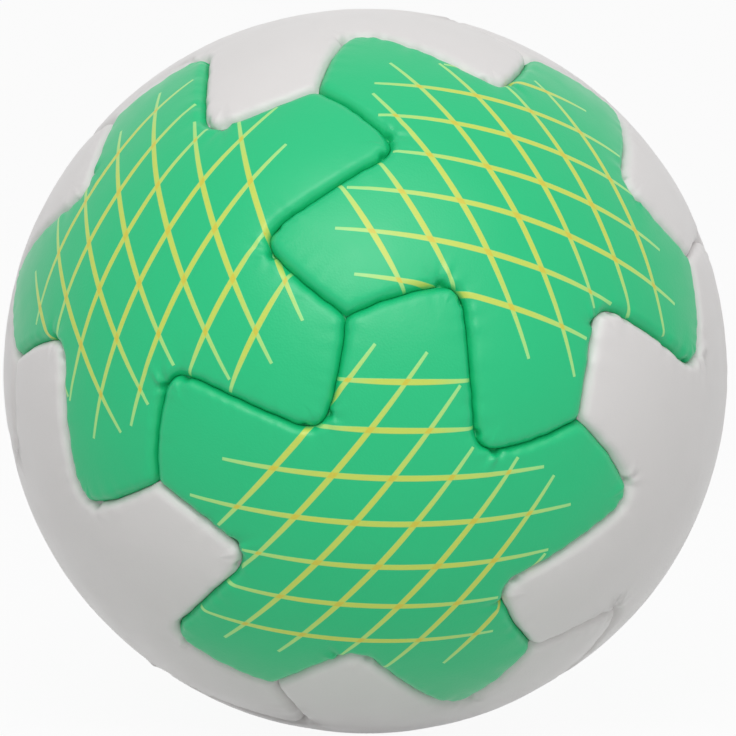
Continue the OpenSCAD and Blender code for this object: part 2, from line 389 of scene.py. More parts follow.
# How sharply the seam bends at each of its points: above zero where it bends round the panel
def seamBends():
    ahead = unit(np.roll(fineOutline, -bending["span"], axis=0) - fineOutline)
    behind = unit(fineOutline - np.roll(fineOutline, bending["span"], axis=0))
    turning = np.sum(np.cross(behind, ahead) * fineOutline, axis=1)
    along = np.arange(len(turning)) % fineSide
    turning = turning * (np.minimum(along, fineSide - along) > bending["cornerFree"])
    return np.clip(turning / np.abs(turning).max() * bending["gain"], -1, 1)


# Distance along each seam from its corner, in whole stitches from end to end
def stitchCount():
    steps = np.linalg.norm(np.roll(fineOutline, -1, axis=0) - fineOutline, axis=1) * ball["radius"]
    along = np.concatenate([[0], np.cumsum(steps[:fineSide])])
    stitches = round(along[-1] / cover["stitchPitch"])
    return np.tile(along[:-1] / along[-1] * stitches, ball["sides"])


bends = seamBends()
bendNear = np.max([
    np.roll(np.abs(bends), k) * math.exp(-abs(k) / bending["fade"])
    for k in range(-bending["reach"], bending["reach"] + 1, bending["span"])
], axis=0)
stitches = stitchCount()
sideTips = [int(pick(bends[:fineSide])) for pick in (np.argmax, np.argmin)]
tips = [k * fineSide + tip for k in range(ball["sides"]) for tip in sideTips]
pits = np.concatenate([cornerDirections, fineOutline[tips]])


# Short folds that run into the panel from where its neighbour's tongue presses on it
def tipCreases(directions, index):
    random = np.random.default_rng(index + 11)
    depth = np.zeros(len(directions))
    for k in range(ball["sides"]):
        tip = k * fineSide + int(np.argmin(bends[k * fineSide:(k + 1) * fineSide]))
        foot = fineOutline[tip]
        ahead = fineOutline[(tip + bending["span"]) % len(fineOutline)]
        forward = unit(ahead - fineOutline[tip - bending["span"]])
        inward = np.cross(foot, forward)
        offset = (directions - foot) * ball["radius"]
        for angle in [random.uniform(*turns) for turns in cover["creaseTurns"]]:
            turn = math.radians(angle)
            run = inward * math.cos(turn) + forward * math.sin(turn)
            aside = forward * math.cos(turn) - inward * math.sin(turn)
            length = cover["creaseLength"] * random.uniform(*cover["creaseLengths"])
            along = offset @ run / length
            across = offset @ aside / (cover["creaseWidth"] * (1 + np.clip(along, 0, 2)))
            fade = np.clip(along * 5, 0, 1) * np.exp(-np.clip(along, 0, None) ** 2)
            fromRidge = (np.abs(across) - cover["ridgePlace"]) / cover["ridgeWidth"]
            fold = np.exp(-across ** 2) - cover["ridgeHeight"] * np.exp(-(fromRidge ** 2))
            depth += cover["creaseDepth"] * random.uniform(*cover["creaseDepths"]) * fade * fold
    return depth


# The seam doesn't run quite smoothly: both panels at it sway together, as the sewing has pulled
# them, and they gape a little at the corners and at the tips of the tongues.
def swayed(directions, gaps, place):
    radius = ball["radius"]
    turned = directions @ place.T
    near = gaps < 4 * cover["swayReach"]
    scale = radius / cover["swayLength"]
    sway = np.array([noise.noise_vector(Vector(p) * scale) for p in turned[near]])
    fade = np.exp(-gaps[near] / cover["swayReach"])[:, None]
    turned[near] += sway * (cover["swayWidth"] / radius) * fade
    openings = ((cornerDirections, cover["cornerOpening"]), (fineOutline[tips], cover["tipOpening"]))
    for spots, opening in openings:
        for spot in spots @ place.T:
            uneven = abs(noise.noise(Vector(spot) * cover["openingPlaces"]))
            size = opening * (cover["openingLeast"] + cover["openingVaries"] * uneven)
            away = turned - spot
            reach = np.linalg.norm(away, axis=1, keepdims=True)
            fade = np.exp(-((reach * radius / cover["openingWidth"]) ** 2))
            turned += away / np.maximum(reach, 1e-6) * size / radius * fade
    return unit(turned)


# Radius of each point of the outer face, once it lies in its place on the ball
def coverRadii(directions, smooth, feet, gaps, place, seed):
    turned = swayed(directions, gaps, place)
    footPlaces = fineOutline @ place.T * ball["radius"]
    radius = ball["radius"] - rollDrop(smooth) - shoulderDrop(smooth)
    pitGap = np.min(np.linalg.norm(directions[:, None, :] - pits[None], axis=2), axis=1) * ball["radius"]
    radius -= cover["pitDepth"] * np.exp(-((pitGap / cover["pitWidth"]) ** 2))
    pucker = np.array([noise.noise(Vector(p) / cover["puckerLength"]) for p in footPlaces])
    start = cover["startShare"] + (1 - cover["startShare"]) * np.clip(gaps / cover["startReach"], 0, 1)
    atBends = cover["puckerOffBends"] + (1 - cover["puckerOffBends"]) * bendNear[feet]
    fade = np.exp(-gaps / cover["puckerReach"])
    radius += cover["puckerDepth"] * pucker[feet] * atBends * start * fade
    pulled = 0.5 + 0.5 * np.cos(2 * math.pi * stitches[feet])
    uneven = 0.6 + 0.8 * np.clip(0.5 + pucker[feet], 0, 1)
    radius -= cover["stitchDepth"] * pulled * uneven * start * np.exp(-gaps / cover["stitchReach"])
    radius -= tipCreases(directions, seed)
    face = np.clip(smooth / cover["rollWidth"], 0, 1)
    shift = Vector([seed * amount for amount in cover["dentShift"]])
    dents = [
        cover["dentDepth"] * noise.noise(Vector(p) * (ball["radius"] / cover["dentSize"]) + shift)
        + cover["rippleDepth"] * noise.noise(Vector(p) * (ball["radius"] / cover["rippleSize"]) + shift)
        for p in turned
    ]
    radius += np.array(dents) * face
    return turned, radius


# The inner face: rings in the panel's own directions, each with its radius
def insideRings():
    skin = cover["skin"]
    foldIn = cover["foldedGap"] / 2 + skin
    foldTop = ball["radius"] - cover["grooveDepth"] - skin / 2
    foot = insetRing(outline, foldIn)
    rings = [(foot, cover["footRadius"]), (foot, foldTop)]
    for share in cover["insideShares"]:
        ring = drawnIn(foot, share)
        distance = smoothDistance(ring, fineOutline)
        depth = rollDrop(np.maximum(distance - cover["insideEase"], 0)) + shoulderDrop(distance)
        rings.append((ring, np.maximum(ball["radius"] - skin - depth, foldTop)))
    return rings


# Where directions lie on the flat print, in degrees from its middle
def printPlaces(name, directions):
    turn, shiftX, shiftY = greenPanels.get(name, (0, 0, 0))
    c, s = math.cos(math.radians(turn)), math.sin(math.radians(turn))
    flat = np.degrees(np.arccos(np.clip(directions[:, 2], -1, 1)))[:, None] * unit(directions[:, :2])
    flat = flat - np.array([shiftX, shiftY])
    middle = (-c * shiftX - s * shiftY, s * shiftX - c * shiftY, 0.0)
    return np.column_stack([flat @ np.array([c, s]), flat @ np.array([-s, c])]), middle


def coverPanel(index, name, material):
    place = np.array(places[index])
    hole = cover["valveHole"] / 2 if name == valvePanel else None
    directions, smooth, feet, gaps, ringCount = coverFace(hole) if hole else plainFace
    turned, radius = coverRadii(directions, smooth, feet, gaps, place, index)
    count = len(outline)
    if hole:
        holeRadii = radius.reshape(ringCount, count)[-len(cover["holeRings"]):]
        for row, (share, sunk) in zip(holeRadii, cover["holeRings"]):
            row[:] = row.mean() - sunk * mm
    rings = (turned * radius[:, None]).reshape(ringCount, count, 3)
    edge = turned[:count]
    plainEdge = directions[:count] @ place.T
    lowShares = cover["lowShares"]
    seamRadius = ball["radius"] - cover["grooveDepth"]
    lowRadii = np.linspace(cover["footRadius"], seamRadius, len(lowShares) + 1)
    lowEdge = [unit(plainEdge + (edge - plainEdge) * share) * r for r, share in zip(lowRadii, lowShares)]
    lowRadius = ball["radius"] - cover["skin"]
    inside = [ring @ place.T * np.asarray(r).reshape(-1, 1) for ring, r in innerFace]
    if hole:
        inside.append(circleRing(outline, hole) @ place.T * lowRadius)
    middle = place @ np.array([0, 0, 1.0])
    topPoint = None if hole else middle * radius[-count:].mean()
    bm, order = ringBody(lowEdge + list(rings), inside, topPoint, middle * lowRadius)

    # The point in the middle is in no ring, and the edge below the face is all next to the seam
    bm.verts.index_update()
    flat, flatMiddle = printPlaces(name, directions)
    # Nearness to the seam, which sets where the leather's painted groove shade lies
    near = np.clip(1 - smooth / cover["shadeWidth"], 0, 1)
    panelPlace = np.tile(flatMiddle, (len(bm.verts), 1))
    seamNear = np.zeros(len(bm.verts))
    for v, (row, i) in order.items():
        at = max(0, row - len(lowEdge)) * count + i
        panelPlace[v.index, :2] = flat[at]
        seamNear[v.index] = near[at] if row >= len(lowEdge) else 1
    piece = finishObject(pieceName("cover", name), bm, material)
    writeAttribute(piece.data, "panelPlace", "FLOAT_VECTOR", panelPlace)
    writeAttribute(piece.data, "seamNear", "FLOAT", seamNear)
    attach(piece, "root")
    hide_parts("cover_" + name)
    return piece


# A material with a plain shader, whose inputs the callers fill
def newMaterial(name):
    material = bpy.data.materials.new(name)
    material.use_nodes = True
    tree = material.node_tree
    tree.nodes.clear()
    shader = tree.nodes.new("ShaderNodeBsdfPrincipled")
    output = tree.nodes.new("ShaderNodeOutputMaterial")
    tree.links.new(shader.outputs["BSDF"], output.inputs["Surface"])
    return material, tree, shader


def connect(tree, socket, value):
    if isinstance(value, bpy.types.NodeSocket):
        tree.links.new(value, socket)
    else:
        socket.default_value = value


def calculate(tree, operation, *values, clamp=False):
    node = tree.nodes.new("ShaderNodeMath")
    node.operation = operation
    node.use_clamp = clamp
    for socket, value in zip(node.inputs, values):
        connect(tree, socket, value)
    return node.outputs[0]


def objectPlace(tree):
    return tree.nodes.new("ShaderNodeTexCoord").outputs["Object"]


def attributeNode(tree, name):
    node = tree.nodes.new("ShaderNodeAttribute")
    node.attribute_name = name
    return node


def dot(tree, vector, direction):
    node = tree.nodes.new("ShaderNodeVectorMath")
    node.operation = "DOT_PRODUCT"
    tree.links.new(vector, node.inputs[0])
    node.inputs[1].default_value = direction
    return node.outputs["Value"]


def mixColor(tree, factor, first, second):
    node = tree.nodes.new("ShaderNodeMix")
    node.data_type = "RGBA"
    connect(tree, node.inputs["Factor"], factor)
    connect(tree, node.inputs["A"], first)
    connect(tree, node.inputs["B"], second)
    return node.outputs["Result"]


def noiseNode(tree, place, size, detail=2.0, roughness=0.5):
    node = tree.nodes.new("ShaderNodeTexNoise")
    tree.links.new(place, node.inputs["Vector"])
    node.inputs["Scale"].default_value = 1 / size
    node.inputs["Detail"].default_value = detail
    node.inputs["Roughness"].default_value = roughness
    return node.outputs["Fac"]


def cellNode(tree, place, size, feature="F1", smoothness=None):
    node = tree.nodes.new("ShaderNodeTexVoronoi")
    node.feature = feature
    tree.links.new(place, node.inputs["Vector"])
    node.inputs["Scale"].default_value = 1 / size
    if smoothness is not None:
        node.inputs["Smoothness"].default_value = smoothness
    return node.outputs["Distance"]


def bumpNode(tree, height, depth, strength=1.0, under=None):
    node = tree.nodes.new("ShaderNodeBump")
    node.inputs["Strength"].default_value = strength
    node.inputs["Distance"].default_value = depth
    tree.links.new(height, node.inputs["Height"])
    if under is not None:
        tree.links.new(under, node.inputs["Normal"])
    return node.outputs["Normal"]


def remap(tree, value, low, high, newLow, newHigh, clamp=True):
    node = tree.nodes.new("ShaderNodeMapRange")
    node.clamp = clamp
    connect(tree, node.inputs["Value"], value)
    for name, number in zip(("From Min", "From Max", "To Min", "To Max"), (low, high, newLow, newHigh)):
        node.inputs[name].default_value = number
    return node.outputs["Result"]


def linear(text):
    channels = [int(text[k:k + 2], 16) / 255 for k in (1, 3, 5)]
    return tuple(c / 12.92 if c <= 0.04045 else ((c + 0.055) / 1.055) ** 2.4 for c in channels) + (1.0,)


# The printed lattice: two sets of parallel lines across a panel, in degrees from its middle.
# Each line swells in its middle and has its own two ends, measured along its set. Reach is more
# than any end lies from the middle.
lattice = {
    "reach": 50,
    "spacing": 7.4,
    "widthInMiddle": 0.94,
    "widthAtEnd": 0.50,
    "softness": 0.12,
    "colorInMiddle": "#d2e05c",
    "colorAtEnd": "#a8ec92",
    "colorOfCrossing": "#e2cc3c",
    "middleShare": 1.15,
    "crossingShare": 0.85,
    "cover": 0.94,
    "raised": 0.03 * mm,
    "roughness": 0.33,
    "sets": [
        {
            "tilt": 6.6,
            "first": 27.2,
            "ends": [
                (-8, 13.8), (-11, 14.4), (-25, 26), (-30, 31),
                (-21, 27.5), (-24, 19.5), (-28, 19.5),
            ],
        },
        {
            "tilt": 60.5,
            "first": 20.8,
            "ends": [
                (-14, 25.5), (-17.5, 29.5), (-31.5, 28.5), (-26.5, 22),
                (-20, 24.5), (-18, 25), (-12, 13.5),
            ],
        },
    ],
}


# How much ink one set lays down at each place, and how near that place is to its line's middle
def latticeSet(tree, place, lines):
    tilt = math.radians(lines["tilt"])
    count = len(lines["ends"])
    reach = lattice["reach"]
    along = dot(tree, place, (math.cos(tilt), math.sin(tilt), 0))
    across = dot(tree, place, (-math.sin(tilt), math.cos(tilt), 0))
    order = remap(tree, across, lines["first"], lines["first"] - lattice["spacing"], 0, 1, clamp=False)
    nearest = calculate(tree, "ROUND", order)
    offset = calculate(tree, "ABSOLUTE", calculate(tree, "SUBTRACT", order, nearest))
    offset = calculate(tree, "MULTIPLY", offset, lattice["spacing"])
    ramp = tree.nodes.new("ShaderNodeValToRGB")
    ramp.color_ramp.interpolation = "CONSTANT"
    stops = ramp.color_ramp.elements
    while len(stops) > 1:
        stops.remove(stops[-1])
    for k, (low, high) in enumerate(lines["ends"]):
        stop = stops[0] if k == 0 else stops.new(k / count)
        stop.position = k / count
        stop.color = (low / reach / 2 + 0.5, high / reach / 2 + 0.5, 0, 1)
    tree.links.new(calculate(tree, "MULTIPLY_ADD", nearest, 1 / count, 0.5 / count), ramp.inputs["Fac"])
    split = tree.nodes.new("ShaderNodeSeparateColor")
    tree.links.new(ramp.outputs["Color"], split.inputs["Color"])
    low = calculate(tree, "MULTIPLY_ADD", split.outputs[0], 2 * reach, -reach)
    high = calculate(tree, "MULTIPLY_ADD", split.outputs[1], 2 * reach, -reach)
    length = calculate(tree, "SUBTRACT", high, low)
    share = calculate(tree, "DIVIDE", calculate(tree, "SUBTRACT", along, low), length)
    swell = calculate(tree, "MULTIPLY", share, calculate(tree, "SUBTRACT", 1.0, share))
    swell = calculate(tree, "MULTIPLY", swell, 4.0)
    more = lattice["widthInMiddle"] - lattice["widthAtEnd"]
    half = calculate(tree, "MULTIPLY_ADD", swell, more / 2, lattice["widthAtEnd"] / 2)
    within = calculate(tree, "SUBTRACT", half, offset)
    ink = calculate(tree, "MULTIPLY_ADD", within, 1 / lattice["softness"], 0.5, clamp=True)
    inside = calculate(tree, "GREATER_THAN", swell, 0.0)
    counted = calculate(tree, "COMPARE", nearest, (count - 1) / 2, count / 2)
    ink = calculate(tree, "MULTIPLY", ink, calculate(tree, "MULTIPLY", inside, counted))
    return ink, swell


# Synthetic leather. Beside the seam a panel's colour turns to a darker one, which is painted shade for
# the bottom of the groove;
# the same darker colour also gives the leather its random tone. Reach says where the painted shade turns
# in: from and to which nearness, and how far it turns.
leather = {
    "green": "#1cc782",
    "greenDeep": "#0db872",
    "greenReach": (0.55, 0.95, 0.85),
    "white": "#e5e2e1",
    "whiteDeep": "#b4b3ae",
    "whiteReach": (0.9, 1.0, 0.35),
    "roughness": (0.32, 0.40),
    "specular": 0.45,
    "grainSize": 0.6 * mm,
    "grainDepth": 0.02 * mm,
    "grainSmoothness": 0.4,
    "creaseSize": 5 * mm,
    "creaseDepth": 0.03 * mm,
    "toneSize": 30 * mm,
    "tone": 0.06,
    "roughnessSize": 9 * mm,
}


# The ink of both sets together, and its colour
def latticeInk(tree):
    place = attributeNode(tree, "panelPlace").outputs["Vector"]
    sets = [latticeSet(tree, place, lines) for lines in lattice["sets"]]
    (first, firstSwell), (second, secondSwell) = sets
    ink = calculate(tree, "MAXIMUM", first, second)
    crossing = calculate(tree, "MULTIPLY", first, second)
    firstSwell = calculate(tree, "MULTIPLY", first, firstSwell)
    secondSwell = calculate(tree, "MULTIPLY", second, secondSwell)
    swell = calculate(tree, "MAXIMUM", firstSwell, secondSwell)
    swell = calculate(tree, "MULTIPLY", swell, lattice["middleShare"], clamp=True)
    color = mixColor(tree, swell, linear(lattice["colorAtEnd"]), linear(lattice["colorInMiddle"]))
    crossing = calculate(tree, "MULTIPLY", crossing, lattice["crossingShare"])
    return ink, mixColor(tree, crossing, color, linear(lattice["colorOfCrossing"]))


def leatherMaterial(kind, printed):
    base, shadeAndToneColor = linear(leather[kind]), linear(leather[kind + "Deep"])
    first, last, share = leather[kind + "Reach"]
    material, tree, shader = newMaterial(kind + "Leather")
    place = objectPlace(tree)
    tone = remap(tree, noiseNode(tree, place, leather["toneSize"]), 0.3, 0.7, 0.0, leather["tone"])
    color = mixColor(tree, tone, base, shadeAndToneColor)
    rough = noiseNode(tree, place, leather["roughnessSize"], detail=3)
    rough = remap(tree, rough, 0.3, 0.7, *leather["roughness"])
    if printed:
        ink, inkColor = latticeInk(tree)
        color = mixColor(tree, calculate(tree, "MULTIPLY", ink, lattice["cover"]), color, inkColor)
        change = calculate(tree, "SUBTRACT", lattice["roughness"], rough)
        rough = calculate(tree, "ADD", rough, calculate(tree, "MULTIPLY", change, ink))
    # Painted shade: next to the seam the colour turns darker, for the shade at the bottom of the groove
    near = attributeNode(tree, "seamNear").outputs["Fac"]
    color = mixColor(tree, remap(tree, near, first, last, 0.0, share), color, shadeAndToneColor)
    tree.links.new(color, shader.inputs["Base Color"])
    tree.links.new(rough, shader.inputs["Roughness"])
    shader.inputs["Specular IOR Level"].default_value = leather["specular"]
    grain = cellNode(tree, place, leather["grainSize"], "SMOOTH_F1", leather["grainSmoothness"])
    creases = noiseNode(tree, place, leather["creaseSize"], detail=4, roughness=0.6)
    normal = bumpNode(tree, creases, leather["creaseDepth"])
    normal = bumpNode(tree, grain, leather["grainDepth"], under=normal)
    if printed:
        normal = bumpNode(tree, ink, lattice["raised"], under=normal)
    tree.links.new(normal, shader.inputs["Normal"])
    return material


plainFace = coverFace()
innerFace = insideRings()
greenLeather = leatherMaterial("green", True)
whiteLeather = leatherMaterial("white", False)
for index, name in enumerate(panelNames):
    coverPanel(index, name, greenLeather if name in greenPanels else whiteLeather)
print("cover panels made")

# Foam pads and cloth linings, one of each behind every cover panel. Their edges are rounded over,
# and a pad gets thinner towards its edge, where the sewing has pressed it down.
layers = {
    "stepsAround": (7, 8, 5),
    "edgeSteps": 4,
    "shares": [0.985, 0.96, 0.925, 0.87, 0.79, 0.68, 0.54, 0.38, 0.2],
    "leastShareAtHole": 0.6,
    "holeRings": (1.6, 1.12, 1.0),
    "dentShift": (4.1, 2.3, 6.7),
    "dentMiddle": 0.6,
}
pad = {
    "top": 92.0 * mm,
    "low": 88.8 * mm,
    "inset": 3.55 * mm,
    "round": 1.1 * mm,
    "thinner": 0.7 * mm,
    "thinnerReach": 5 * mm,
    "hole": 7.5 * mm,
    "dentDepth": 0.06 * mm,
    "dentSize": 14 * mm,
}
lining = {
    "top": 88.6 * mm,
    "low": 87.3 * mm,
    "inset": 1.65 * mm,
    "round": 0.3 * mm,
    "thinner": 0.0,
    "thinnerReach": 5 * mm,
    "hole": 32.5 * mm,
    "dentDepth": 0.03 * mm,
    "dentSize": 7 * mm,
}
innerOutline = panelOutline(*layers["stepsAround"])


# Rings of one side of a layer, from the middle of its edge: first round the edge, then over the
# face. Outwards is 1 for the outer side, where a layer is thinner towards its edge, and else -1.
def layerSide(layer, faceRadius, outwards, hole):
    count = len(innerOutline)
    thinner = layer["thinner"] if outwards > 0 else 0
    middle = (layer["top"] - layer["thinner"] + layer["low"]) / 2
    edgeFace = faceRadius - thinner
    turnRadius = min(layer["round"], abs(edgeFace - middle))
    rings = []
    for k in range(layers["edgeSteps"] + 1):
        angle = math.pi / 2 * k / layers["edgeSteps"]
        ring = insetRing(innerOutline, layer["inset"] + turnRadius * (1 - math.cos(angle)))
        rings.append((ring, np.full(count, edgeFace - outwards * turnRadius * (1 - math.sin(angle)))))
    last = rings[-1][0]
    for share in layers["shares"]:
        if hole and share < layers["leastShareAtHole"]:
            break
        ring = drawnIn(last, share)
        away = np.maximum(smoothDistance(ring, fineOutline) - layer["inset"], 0)
        rings.append((ring, faceRadius - thinner * np.exp(-away / layer["thinnerReach"])))
    if hole:
        for share in layers["holeRings"]:
            ring = circleRing(innerOutline, layer["hole"] / 2 * share)
            rings.append((ring, np.full(count, faceRadius)))
    return rings


def layerPiece(index, name, kind, layer, material, sides):
    place = np.array(places[index])
    hole = name == valvePanel
    shift = Vector([index * amount for amount in layers["dentShift"]])
    scale = ball["radius"] / layer["dentSize"]
    outer, inner = [[(ring @ place.T, radius) for ring, radius in rings] for rings in sides[hole]]
    for k, (turned, radius) in enumerate(outer):
        dents = np.array([noise.noise(Vector(p) * scale + shift) for p in turned])
        outer[k] = (turned, radius + layer["dentDepth"] * (dents - layers["dentMiddle"]))
    outer, inner = [[turned * radius[:, None] for turned, radius in rings] for rings in (outer, inner)]
    middle = place @ np.array([0, 0, 1.0])
    topPoint = None if hole else middle * layer["top"]
    bm = ringBody(outer, inner, topPoint, middle * layer["low"])[0]
    bm.verts.index_update()
    panelPlace = np.zeros((len(bm.verts), 3))
    for v in bm.verts:
        x, y, z = place.T @ np.array(v.co)
        tilt = math.degrees(math.atan2(math.hypot(x, y), z)) / max(math.hypot(x, y), 1e-9)
        panelPlace[v.index] = (x * tilt, y * tilt, v.co.length * 1000)
    piece = finishObject(pieceName(kind, name), bm, material)
    writeAttribute(piece.data, "panelPlace", "FLOAT_VECTOR", panelPlace)
    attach(piece, "root")
    return piece


def dressLayer(kind, node, layer, material):
    sides = {
        hole: (layerSide(layer, layer["top"], 1, hole), layerSide(layer, layer["low"], -1, hole))
        for hole in (False, True)
    }
    for index, name in enumerate(panelNames):
        piece = layerPiece(index, name, kind, layer, material, sides)
        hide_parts(node + "_" + name)


foam = {
    "color": "#6f7072",
    "dark": "#4d4e51",
    "cellSize": 0.55 * mm,
    "cellDepth": 0.05 * mm,
    "blotchSize": 6 * mm,
    "roughness": 0.92,
    "specular": 0.2,
}
# The lining cloth is dark grey. Where it shows in the small openings at the seams' corners and tips, its
# darkness also stands in for the shade in those pits, so it is partly painted shade.
cloth = {
    "color": "#4c4a44",
    "shade": "#33322e",
    "yarn": 0.42,
    "yarnDepth": 0.09 * mm,
    "fuzzSize": 1.2 * mm,
    "roughness": 0.9,
    "specular": 0.15,
    "sheen": 0.25,
}


def foamMaterial():
    material, tree, shader = newMaterial("padFoam")
    place = objectPlace(tree)
    cells = cellNode(tree, place, foam["cellSize"])
    blotch = remap(tree, noiseNode(tree, place, foam["blotchSize"], detail=3), 0.3, 0.7, 0.0, 0.35)
    shade = calculate(tree, "ADD", remap(tree, cells, 0.2, 0.7, 0.0, 0.5), blotch)
    color = mixColor(tree, shade, linear(foam["color"]), linear(foam["dark"]))
    tree.links.new(color, shader.inputs["Base Color"])
    shader.inputs["Roughness"].default_value = foam["roughness"]
    shader.inputs["Specular IOR Level"].default_value = foam["specular"]
    tree.links.new(bumpNode(tree, cells, foam["cellDepth"]), shader.inputs["Normal"])
    return material


# Plain weave: the yarns of two directions rise and fall over each other across a panel
def clothMaterial():
    material, tree, shader = newMaterial("liningCloth")
    where = attributeNode(tree, "panelPlace").outputs["Vector"]
    waves = []
    for direction in ((1, 0, 0), (0, 1, 0)):
        across = calculate(tree, "MULTIPLY", dot(tree, where, direction), math.pi / cloth["yarn"])
        waves.append(calculate(tree, "SINE", across))
    over = calculate(tree, "GREATER_THAN", calculate(tree, "MULTIPLY", *waves), 0.0)
    under = calculate(tree, "SUBTRACT", 1.0, over)
    warp = calculate(tree, "MULTIPLY", calculate(tree, "ABSOLUTE", waves[0]), over)
    weft = calculate(tree, "MULTIPLY", calculate(tree, "ABSOLUTE", waves[1]), under)
    height = calculate(tree, "ADD", warp, weft)
    fuzz = noiseNode(tree, objectPlace(tree), cloth["fuzzSize"], detail=4)
    fuzz = remap(tree, fuzz, 0.35, 0.7, 0.0, 0.3)
    # Painted shade: the cloth is coloured darker where the weave is low, between the yarns, and the fuzz
    # adds random tone
    shade = calculate(tree, "ADD", remap(tree, height, 0.0, 0.8, 0.65, 0.0), fuzz)
    color = mixColor(tree, shade, linear(cloth["color"]), linear(cloth["shade"]))
    tree.links.new(color, shader.inputs["Base Color"])
    shader.inputs["Roughness"].default_value = cloth["roughness"]
    shader.inputs["Specular IOR Level"].default_value = cloth["specular"]
    shader.inputs["Sheen Weight"].default_value = cloth["sheen"]
    tree.links.new(bumpNode(tree, height, cloth["yarnDepth"]), shader.inputs["Normal"])
    return material


dressLayer("pad", "foam", pad, foamMaterial())
print("foam pads made")
dressLayer("lining", "lining", lining, clothMaterial())
print("linings made")

# The valve's body: one moulded rubber piece, spun round its axis from half of its section. The
# rim of its nose and its opening are rounded, and its foot follows the bladder's wall.
valve = {
    "noseWidth": 5.6 * mm,
    "noseTop": 93.8 * mm,
    "noseRound": 0.4 * mm,
    "opening": 2.6 * mm,
    "openingRound": 0.22 * mm,
    "lip": 0.6 * mm,
    "stemWidth": 7.0 * mm,
    "stemTop": 92.0 * mm,
    "stemEnd": 80.5 * mm,
    "stemRound": 0.3 * mm,
    "seat": 4.1 * mm,
    "collarSeat": 5.1 * mm,
    "collarLow": 83.45 * mm,
    "collarHigh": 84.95 * mm,
    "footWidth": 26 * mm,
    "footTop": 85.6 * mm,
    "footThick": 1.2 * mm,
    "footRound": 0.4 * mm,
    "footSteps": (6 * mm, 9 * mm),
    "footFillet": 0.8 * mm,
    "segments": 96,
    "sharpFrom": 40,
}


def quarterTurn(center, radius, start, end, steps=6):
    angles = [math.radians(start + (end - start) * k / steps) for k in range(steps + 1)]
    return [(center[0] + radius * math.cos(a), center[1] + radius * math.sin(a)) for a in angles]


def valveSection():
    halves = ("noseWidth", "opening", "stemWidth", "seat", "collarSeat", "footWidth")
    nose, opening, stem, seat, collar, foot = (valve[k] / 2 for k in halves)
    top, rim, mouth, corner = (valve[k] for k in ("noseTop", "noseRound", "openingRound", "stemRound"))
    fillet = valve["footFillet"]
    outwards = (*valve["footSteps"], foot - valve["footRound"], foot)
    footFaces = [
        (valve["footTop"] - valve["footThick"], (stem, *outwards)),
        (valve["footTop"], (*outwards[::-1], stem + fillet)),
    ]
    points = [(seat, valve["stemEnd"]), (stem, valve["stemEnd"])]
    for radius, widths in footFaces:
        points += [(w, math.sqrt(radius ** 2 - w ** 2)) for w in widths]
    base = math.sqrt(valve["footTop"] ** 2 - stem ** 2)
    points += quarterTurn((stem + fillet, base + fillet), fillet, 270, 180)[1:]
    points += quarterTurn((stem - corner, valve["stemTop"] - corner), corner, 0, 90, 4)
    points += [(nose, valve["stemTop"])]
    points += quarterTurn((nose - rim, top - rim), rim, 0, 90)
    points += quarterTurn((opening + mouth, top - mouth), mouth, 90, 180)
    points += [(opening, top - valve["lip"]), (seat, top - valve["lip"]), (seat, valve["collarHigh"])]
    points += [(collar, valve["collarHigh"]), (collar, valve["collarLow"]), (seat, valve["collarLow"])]
    return points


def makeValveBody(material):
    bm = bmesh.new()
    points = [bm.verts.new((x, 0, z)) for x, z in valveSection()]
    edges = [bm.edges.new((points[k], points[(k + 1) % len(points)])) for k in range(len(points))]
    bmesh.ops.spin(
        bm, geom=points + edges, cent=(0, 0, 0), axis=(0, 0, 1), angle=2 * math.pi,
        steps=valve["segments"], use_merge=True, use_duplicate=False,
    )
    bmesh.ops.remove_doubles(bm, verts=bm.verts[:], dist=0.001 * mm)
    bmesh.ops.recalc_face_normals(bm, faces=bm.faces[:])
    bmesh.ops.transform(bm, matrix=places[panelNames.index(valvePanel)].to_4x4(), verts=bm.verts[:])
    piece = finishObject("valveBody", bm, material)
    piece.data.shade_smooth()
    piece.data.set_sharp_from_angle(angle=math.radians(valve["sharpFrom"]))
    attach(piece, "root")
    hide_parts("valve_body")


rubber = {
    "cloudSize": 12 * mm,
    "speckSize": 0.7 * mm,
    "specular": 0.4,
}
rubberFinishes = {
    "bladder": {
        "color": "#2c2c30", "dust": "#8b8a86", "dusty": 0.35, "roughness": (0.5, 0.75),
        "grain": 1.6 * mm, "depth": 0.03 * mm,
    },
    "patch": {
        "color": "#4a4a4e", "dust": "#77777a", "dusty": 0.2, "roughness": (0.5, 0.7),
        "grain": 0.8 * mm, "depth": 0.02 * mm,
    },
    "valve": {
        "color": "#3a3a3d", "dust": "#6a6a6c", "dusty": 0.18, "roughness": (0.45, 0.65),
        "grain": 0.5 * mm, "depth": 0.012 * mm,
    },
    "core": {
        "color": "#1f1f22", "dust": "#4c4c4f", "dusty": 0.15, "roughness": (0.35, 0.5),
        "grain": 0.4 * mm, "depth": 0.008 * mm,
    },
}


